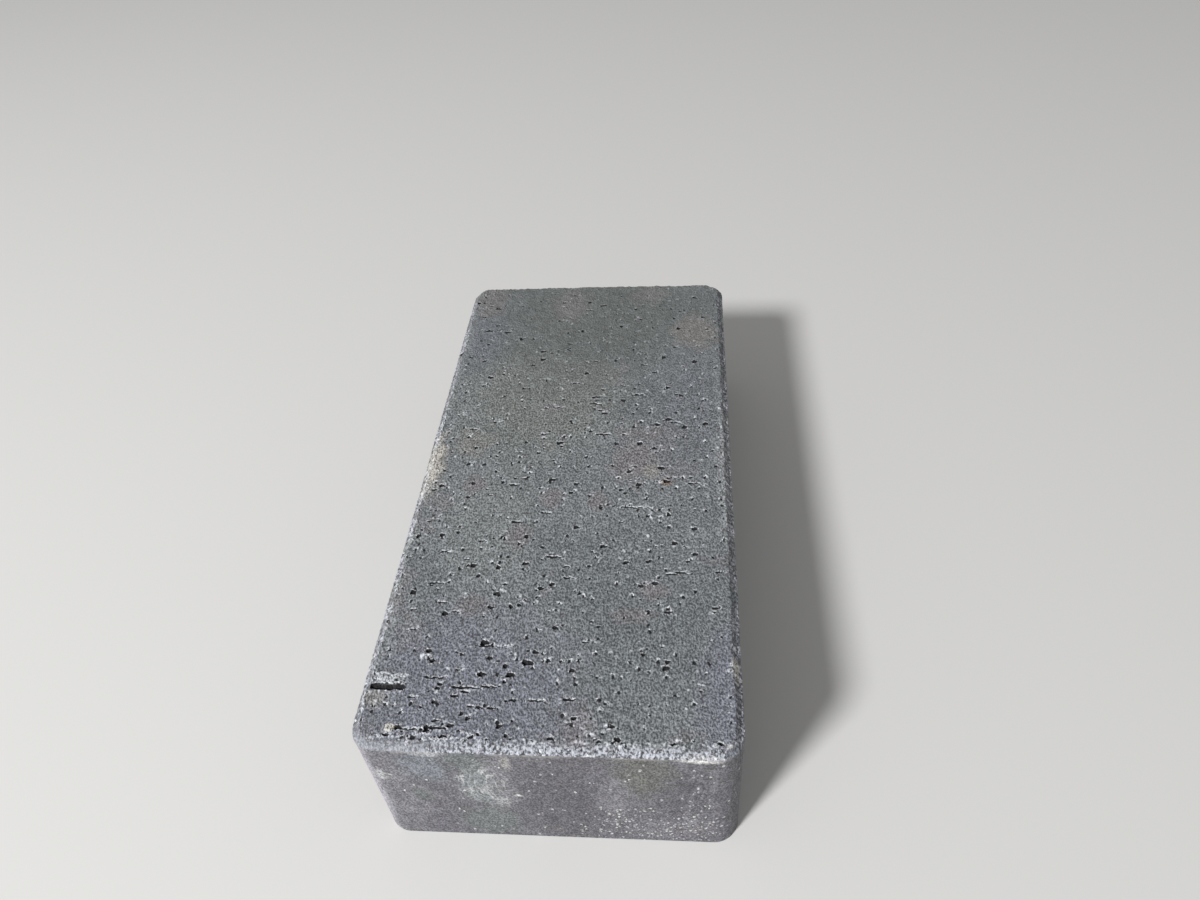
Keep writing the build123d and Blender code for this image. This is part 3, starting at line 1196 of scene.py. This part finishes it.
# %% Ground colour of the cut clay
cut_grain = (0.55, 0.8, 0.65)            # sizes in millimetres
cut_coarse_grain = (1.8, 2.3, 1.8)
band_size = (3.5, 60.0, 60.0)
grain_shades = (0.34, 1.46)              # how dark and how light a pattern makes the clay
coarse_shades = (0.86, 1.14)
band_shades = (0.9, 1.1)


def ground_colour(place, fine_tone, coarse_tone):
    """Mottled and stained clay with its grain."""
    colour = use_group(mottled_clay, place, Patch_Size=26.0, Slate=slate, Green_Grey=green_grey,
                       Brown_Grey=mauve_grey)["Color"]
    colour = lay_stains(colour, place, TOP_STAINS)
    colour = shade(colour, fine_tone, *grain_shades)
    colour = shade(colour, coarse_tone, *coarse_shades)
    return shade(colour, noise_texture(place, band_size), *band_shades)


# %% [markdown]
# ** The rubbed bevel.** Rubbing breaks the grains open, and their fresh faces are pale. So the
# bevel is a strong mix of bright and dark flecks, drawn out a little by the strokes of the mask.
# The brightest flecks are partly painted glints of grains that catch the light. The left front
# corner was brushed smoother. The slope is palest at its foot.

# %% Colour of the bevel
rubbed_grey = (0.282, 0.29, 0.322)
fleck_size = (0.7, 0.8, 0.8)
fleck_levels = (0.38, 0.62)              # the noise between which a fleck turns bright
fleck_shades = (0.05, 1.55)
slope_shades = (1.12, 0.88)              # from the foot of the bevel to its head
stroke_share = 0.3
brushed_patch = ((-42, -98, 47), (24, 9, 8), 0.5)    # middle, reach, patchiness
brushed_share, brushed_tone = 0.6, 0.4


def bevel_colour(place, strokes):
    """Clay that was rubbed pale, with bright flecks that are partly painted glints."""
    flecks = ramp(noise_texture(place, fleck_size, roughness=0.65), *fleck_levels)
    flecks = blend(stain_mask(place, *brushed_patch) * brushed_share, flecks, brushed_tone)
    # the top of the fleck range is partly a painted glint
    colour = shade(rubbed_grey, strokes * stroke_share + flecks, *fleck_shades)
    return shade(colour, ramp(axes_of(place)["Z"], side_top, thickness - 0.6), *slope_shades)


# %% [markdown]
# ** Painted highlights.** Three things beside a mark catch the light, and the colour paints that
# light on them: the torn edges that the mesh knows, the finer burrs of the shader group, and
# bright specks on the rough ground round a mark.

# %% Light of the marks
torn_highlight_tones = (0.05, 0.5)                 # the grain between which a painted highlight on a torn edge turns bright
ground_glint_size = (0.7, 0.9, 0.7)
ground_glint_levels = (0.565, 0.62)           # the noise between which a painted glint shows
ground_glint_share = 0.9


def light_of_marks(place, masks, fine_tone, finer_light):
    """Painted highlights on torn edges, burrs and specks."""
    # painted highlights: torn edges, burrs, and glints on the rough ground
    torn = masks["light"] * ramp(fine_tone, *torn_highlight_tones)
    crushed = ramp(noise_texture(place, ground_glint_size), *ground_glint_levels)
    return larger(larger(torn, finer_light), masks["rough"] * crushed * ground_glint_share)


# %% [markdown]
# ** Putting the cut clay together.** What lies deepest comes first: ground, bevel, grains and dots,
# painted glints among pale sand, the painted shade in the hollows, the painted highlights on
# edges, and last the pale crumbs and scum that lie on everything, some of them lit by a painted
# highlight. The rear of the top is calmer than the rest, so one mask weakens the grain and the
# marks there. A bump carries the grain that is too fine for the mesh.

# %% The wire-cut finish
# the next four colours paint light and shade: glints on sand and pale crumbs, highlights on torn edges and
# crumbs, glints on grains, and the shade inside pits
crumb_and_glint_grey = (0.72, 0.75, 0.8)
painted_highlight_white = (0.9, 0.93, 0.98)
grain_glint_grey = (0.5, 0.52, 0.54)
painted_pit_shade = (0.004, 0.004, 0.005)
pebble_beige = (0.62, 0.58, 0.5)
cream = (0.66, 0.63, 0.57)
lip_white = (0.8, 0.79, 0.77)
calm_patch = ((0, 92, 48), (90, 80, 60), 0.4)
calming = 0.65                           # how much of the grain is lost in the calm patch
cut_bump = 0.2                           # millimetres

# middle, reach, patchiness, share, colour
PALE_SPOTS = [
    ((-38.7, -94.6, 48), (2.1, 1.6, 3), 0.2, 0.95, pebble_beige),
    # the next four are pale crumbs and the rim of the large tear, with a painted highlight on top
    ((-34.4, -73.9, 48), (1.3, 0.9, 3), 0.4, 0.95, crumb_and_glint_grey),
    ((-32.8, -73.6, 48), (0.9, 0.7, 3), 0.4, 0.9, crumb_and_glint_grey),
    ((-42.2, -81.2, 48), (5.6, 1.5, 3), 1.0, 0.5, crumb_and_glint_grey),
    ((15.5, -92.4, 48), (0.8, 0.8, 3), 0.3, 0.95, crumb_and_glint_grey),
    ((47.6, -76.0, 47), (1.6, 6.5, 4), 1.6, 0.9, cream),
    ((45.2, -96.8, 46.4), (1.8, 1.0, 3), 1.6, 0.5, cream),
    ((-46.4, -1.0, 47), (3.6, 16.0, 4), 2.6, 0.8, cream),
    ((38.5, -99.7, 45.4), (7, 4, 1.1), 1.0, 0.5, lip_white),
]


def make_cut_clay():
    """Dull torn clay, pale on the bevel."""
    material, shader, place = new_material("wire_cut_clay")
    masks = stored_masks(place.tree)
    fine = use_group(sandy_grain, place, Grain_Size=cut_grain)
    coarse = use_group(sandy_grain, place, Grain_Size=cut_coarse_grain)
    dots = use_group(scattered_dots, place, Spacing=1.9, Share=0.12, Dot_Size=0.3)["Mask"]
    marks = use_group(drag_marks, place, Spacing=2.3, Share=0.36, Head_Size=0.52, Tail_Length=1.6)
    calm = stain_mask(place, *calm_patch) * calming
    lively = 1.0 - calm

    colour = ground_colour(place, blend(calm, fine["Tone"], 0.5), coarse["Tone"])
    # painted glints on the grains that stand out
    colour = cover(colour, fine["Grains"] * lively, 0.8, grain_glint_grey)
    broken = ramp(fine["Tone"] * 0.6 + masks["rubbed"], 0.5, 1.15)
    colour = blend(broken, colour, bevel_colour(place, masks["stroke"]))
    # pale dots of sand, partly painted glints
    colour = cover(colour, dots, 0.75, crumb_and_glint_grey)
    # painted shade in the pits, both those of the mesh and the finer heads of the drag marks
    heads = marks["Head"] * (1.0 - masks["rubbed"]) * lively
    hollows = larger(ramp(masks["hollow"], 0.1, 0.4), heads)
    colour = cover(colour, hollows, 0.97, painted_pit_shade)
    light = light_of_marks(place, masks, fine["Tone"], marks["Light"]) * lively
    # painted highlights on torn edges, burrs, crumbs and the rough ground
    colour = cover(colour, larger(light - hollows, 0.0), 0.85, painted_highlight_white)
    colour = lay_stains(colour, place, PALE_SPOTS, ramp(fine["Tone"], 0.0, 0.75))
    fill(place.tree, shader.inputs["Base Color"], colour)

    fill(place.tree, shader.inputs["Roughness"], fine["Tone"] * -0.25 + 0.9)
    height = (coarse["Height"] + fine["Height"] + dots) * (masks["rough"] * 0.5 + 1.0)
    fill(place.tree, shader.inputs["Normal"], bump(heads * -3.0 + height, cut_bump))
    return material


# %% [markdown]
# **Colours of the die skin.** The steel die smooths the paste and brings its salts to the
# surface, so the skin leans to mauve and carries scum and dust. The stains of the near end lie
# where the real ones do. The three other sides get the same kinds of stain.

# %% Colours and stains of the die skin
skin_mauve = (0.152, 0.147, 0.168)
skin_violet = (0.146, 0.144, 0.16)
skin_brown = (0.155, 0.145, 0.15)
dark_mauve = (0.12, 0.117, 0.133)
teal_grey = (0.152, 0.166, 0.168)
olive_grey = (0.14, 0.14, 0.134)
blue_dust = (0.19, 0.205, 0.232)
lilac_dust = (0.202, 0.197, 0.216)
mint_dust = (0.265, 0.29, 0.295)
pale_lilac = (0.38, 0.37, 0.41)
pale_scum = (0.42, 0.43, 0.44)
lime = (0.72, 0.72, 0.72)
lip_cream = (0.42, 0.405, 0.38)

# middle, reach, patchiness, share, colour
SKIN_STAINS = [
    ((3, -100, 24), (16, 8, 34), 1.0, 0.9, dark_mauve),
    ((34, -100, 27), (10, 8, 20), 1.2, 1.0, dark_mauve),
    ((-42, -100, 24), (12, 8, 32), 1.4, 0.8, lilac_dust),
    ((-31, -100, 39), (9, 8, 13), 1.0, 0.95, blue_dust),
    ((-20, -100, 41), (8, 8, 8), 1.2, 0.9, teal_grey),
    ((-18, -100, 8), (11, 8, 14), 1.2, 0.9, teal_grey),
    ((-34, -100, 23), (4, 8, 5), 1.0, 0.8, teal_grey),
    ((24, -100, 38), (11, 8, 16), 1.2, 1.0, olive_grey),
    ((16.5, -100, 24), (6, 8, 16), 1.2, 0.9, lilac_dust),
    ((-12.5, -100, 30), (6, 8, 17), 1.0, 0.9, lilac_dust),
    ((-18.5, -100, 28), (6.5, 8, 16), 1.0, 0.6, mint_dust),
    ((26, -100, 6), (8, 8, 8), 1.6, 0.7, lilac_dust),
    ((36, -100, 12), (4, 8, 10), 1.6, 0.7, lilac_dust),
    ((-47, -98.4, 24), (4.2, 4, 36), 1.0, 0.85, pale_lilac),
    ((-43, -99.6, 33), (2.4, 4, 3.4), 1.0, 0.8, pale_scum),
    ((-29, -100, 45), (6, 6, 2.2), 1.0, 0.7, pale_scum),
    ((-13, -100, 20.5), (2.4, 6, 2.6), 1.4, 0.6, pale_scum),
    ((-9.7, -100, 41.6), (2.0, 6, 4.4), 1.6, 0.5, lip_cream),
    ((-8.6, -100, 24), (1.3, 3, 0.9), 1.0, 0.9, lime),
    ((38.5, -100, 45.0), (7.5, 6, 1.5), 1.0, 0.8, lip_white),
    ((49, -66, 28), (8, 22, 20), 1.2, 0.8, lilac_dust),
    ((49, -28, 38), (8, 20, 13), 1.2, 0.8, olive_grey),
    ((49, 6, 16), (8, 26, 16), 1.4, 0.9, dark_mauve),
    ((49, 44, 32), (8, 22, 16), 1.2, 0.8, teal_grey),
    ((49, 78, 14), (8, 18, 14), 1.4, 0.6, mint_dust),
    ((30, 100, 30), (18, 8, 20), 1.2, 0.8, dark_mauve),
    ((-14, 100, 16), (20, 8, 14), 1.4, 0.7, lilac_dust),
    ((-36, 100, 36), (14, 8, 12), 1.2, 0.7, olive_grey),
    ((-49, 70, 20), (8, 24, 18), 1.2, 0.9, dark_mauve),
    ((-49, 26, 36), (8, 20, 14), 1.2, 0.8, blue_dust),
    ((-49, -16, 14), (8, 26, 14), 1.4, 0.7, mint_dust),
    ((-49, -60, 30), (8, 24, 20), 1.2, 0.9, teal_grey),
]
print(f"{len(SKIN_STAINS)} stains on the sides")

# %% [markdown]
# **Scum and dust.** A swirl of pale scum lies on the near end, as if wiped with a wet cloth. Its
# strands follow arcs round one point, so the noise is read at the distance from that point,
# where it changes fast, and at the height, where it changes slowly. Lime dust lies as dots that
# crowd towards the lower right and up the right edge.

# %% Scum and dust
turn_middle = (-3.0, -100.0, 29.0)       # the point that the strands run round
strand_change = (1.1, 0.17)              # of the noise per millimetre of distance and of height
strand_levels = (0.5, 0.6)
swirl_patch = ((-17, -100, 30), (9, 6, 14), 1.0)
dusty_patch = ((26, -100, 9), (23, 8, 13), 1.4)
dusty_edge = ((40, -99, 30), (9, 8, 17), 1.2)
dust_in_patch, dust_at_edge, dust_elsewhere = 1.2, 0.3, 0.06


def scum_swirl(place):
    """Pale strands along arcs."""
    distance = length_of((place - turn_middle) * (1.0, 0.0, 1.0))
    along_arc = add_node(place.tree, "ShaderNodeCombineXYZ", X=distance * strand_change[0],
                         Y=axes_of(place)["Z"] * strand_change[1])[0]
    return stain_mask(place, *swirl_patch) * ramp(noise_texture(along_arc), *strand_levels)


def dust_dots(place):
    """Dots of lime, a little taller than wide."""
    share = stain_mask(place, *dusty_patch) * dust_in_patch + dust_elsewhere
    share = stain_mask(place, *dusty_edge) * dust_at_edge + share
    upright = place * (1.0, 1.0, 0.75)
    return use_group(scattered_dots, upright, Spacing=1.0, Share=share, Dot_Size=0.45)["Mask"]


# %% [markdown]
# **Putting the die skin together.** The order is the same as before: mottled ground, stains,
# scum, grain, faint upright lines from the die, then lime. A thin broken line of cream lies
# under the bevel, where the clay was pushed over the edge.

# %% The die-skin finish
skin_grain = (0.5, 0.5, 0.65)            # sizes in millimetres
skin_coarse_grain = (3.2, 3.2, 4.2)
die_line_size = (1.6, 1.6, 50.0)
skin_grain_shades = (0.47, 1.43)
skin_coarse_shades = (0.86, 1.12)
die_line_shades = (0.9, 1.1)
skin_bump = 0.1                          # millimetres


def make_die_skin():
    """Smooth clay with upright drag lines, stains and a dusting of lime."""
    material, shader, place = new_material("die_skin_clay")
    fine = use_group(sandy_grain, place, Grain_Size=skin_grain)
    coarse = use_group(sandy_grain, place, Grain_Size=skin_coarse_grain)
    die_lines = noise_texture(place, die_line_size, detail=3.0, roughness=0.6)
    dots = dust_dots(place)

    colour = use_group(mottled_clay, place, Patch_Size=24.0, Slate=skin_mauve, Green_Grey=skin_violet,
                       Brown_Grey=skin_brown)["Color"]
    colour = lay_stains(colour, place, SKIN_STAINS)
    colour = cover(colour, scum_swirl(place), 0.85, pale_scum)
    colour = shade(colour, fine["Tone"], *skin_grain_shades)
    colour = shade(colour, coarse["Tone"], *skin_coarse_shades)
    colour = shade(colour, die_lines, *die_line_shades)
    colour = cover(colour, fine["Grains"], 0.35, lime)
    colour = cover(colour, dots, 0.85, lime)
    under_bevel = ramp(axes_of(place)["Z"], side_top - 1.2, side_top - 0.3)
    broken = ramp(noise_texture(place, (6.0, 6.0, 6.0)), 0.4, 0.65)
    colour = cover(colour, under_bevel * broken, 0.45, lip_cream)
    fill(place.tree, shader.inputs["Base Color"], colour)

    fill(place.tree, shader.inputs["Roughness"], fine["Tone"] * -0.2 + 0.8)
    height = coarse["Height"] + fine["Height"] + die_lines * 0.5 + dots * 0.5
    fill(place.tree, shader.inputs["Normal"], bump(height, skin_bump))
    return material


# %% [markdown]
# **Which face gets which finish.** Whatever stands upright below the bevel and near the outline
# is die skin. The walls of the deep pits stand upright too, but lie further in or higher up, so
# they stay cut clay.

# %% Give each face its finish
def finish_faces(piece):
    """The die skin goes on what stands upright below the bevel, the cut finish on the rest."""
    mesh = piece.data
    mesh.materials.append(make_cut_clay())
    mesh.materials.append(make_die_skin())
    upright = abs(read_all(mesh.polygons, "normal")[:, 2]) < 0.5
    centres = read_all(mesh.polygons, "center")
    below_bevel = centres[:, 2] < side_top * MM
    straight_part = (np.array([half_width, half_length]) - corner_radius) * MM
    near_outline = (np.abs(centres[:, :2]) > straight_part).any(axis=1)
    skin = upright & below_bevel & near_outline
    mesh.polygons.foreach_set("material_index", skin.astype(np.int32))
    mesh.update()
    print(f"die skin on {np.mean(skin):.0%} of the faces")


finish_faces(paver)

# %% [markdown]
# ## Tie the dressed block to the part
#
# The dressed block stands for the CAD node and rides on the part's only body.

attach(paver, "root")
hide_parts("paver")
